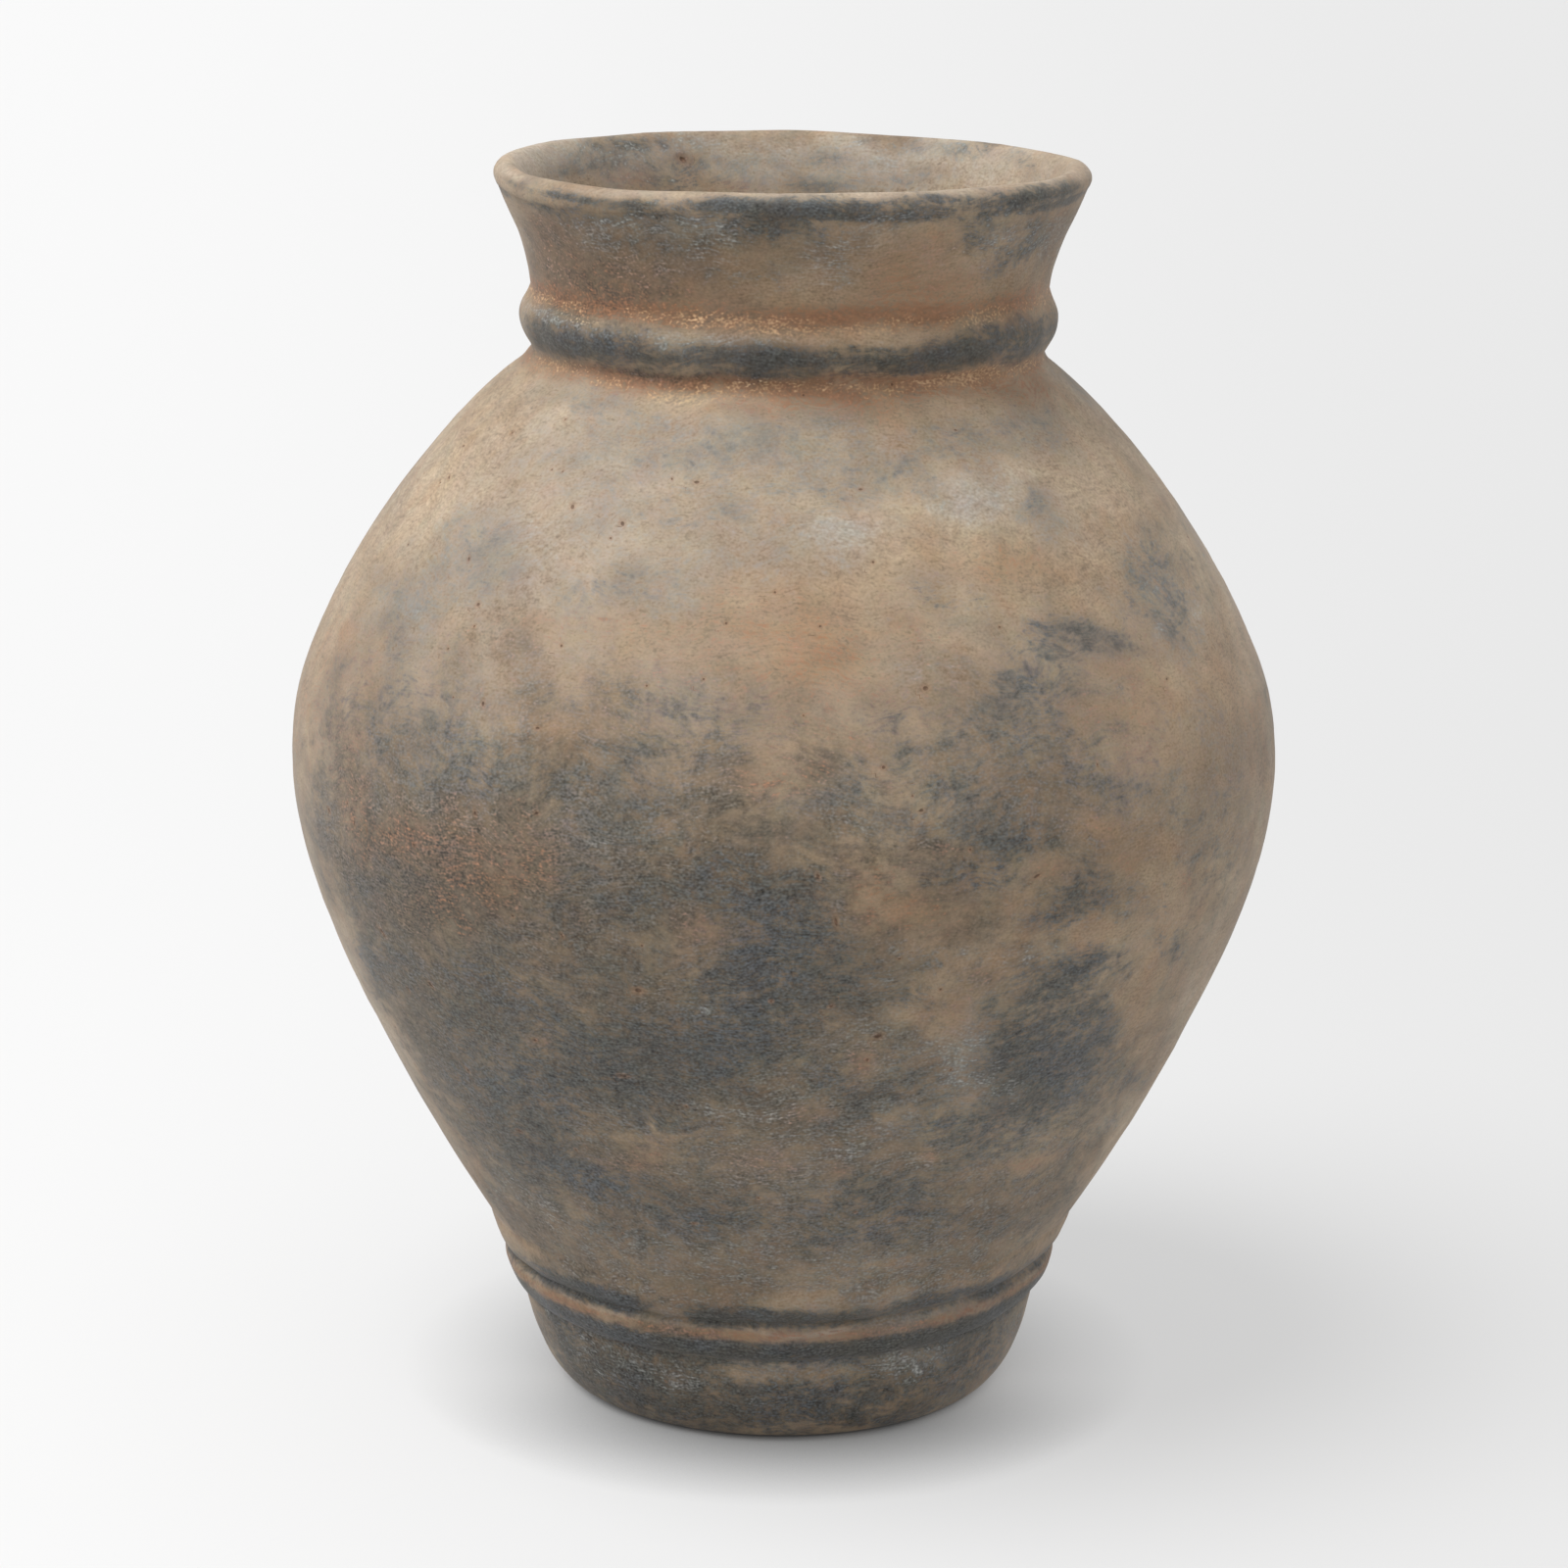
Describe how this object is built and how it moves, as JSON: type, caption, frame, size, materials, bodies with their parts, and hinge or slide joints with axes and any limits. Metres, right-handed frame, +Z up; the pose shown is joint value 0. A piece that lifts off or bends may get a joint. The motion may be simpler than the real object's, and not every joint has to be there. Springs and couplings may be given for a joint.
{
  "type": "pithos storage jar",
  "caption": "Wide-bellied terracotta storage jar without handles, on a narrow foot, with applied clay bands at foot and neck and a flared collar with a rolled lip; holds dry or liquid goods.",
  "frame": {"origin": "centre of the face that the jar stands on", "axes": "+Z up along the jar's axis of revolution; the pictured side faces -Y, with +X to its right"},
  "size_m": [0.4, 0.4, 0.505],
  "materials": {
    "terracotta": "matt unglazed fired clay, hand-smoothed, with charcoal washes, rubbed highlights and rust-brown recesses"
  },
  "bodies": {
    "root": {"base_disc": "terracotta", "foot_ring": "terracotta", "lower_foot_cordon": "terracotta", "upper_foot_cordon": "terracotta", "lower_wall_ring": "terracotta", "belly_ring": "terracotta", "shoulder_ring": "terracotta", "upper_shoulder_ring": "terracotta", "neck_cordon": "terracotta", "neck_collar": "terracotta", "rim_lip": "terracotta"}
  },
  "joints": []
}
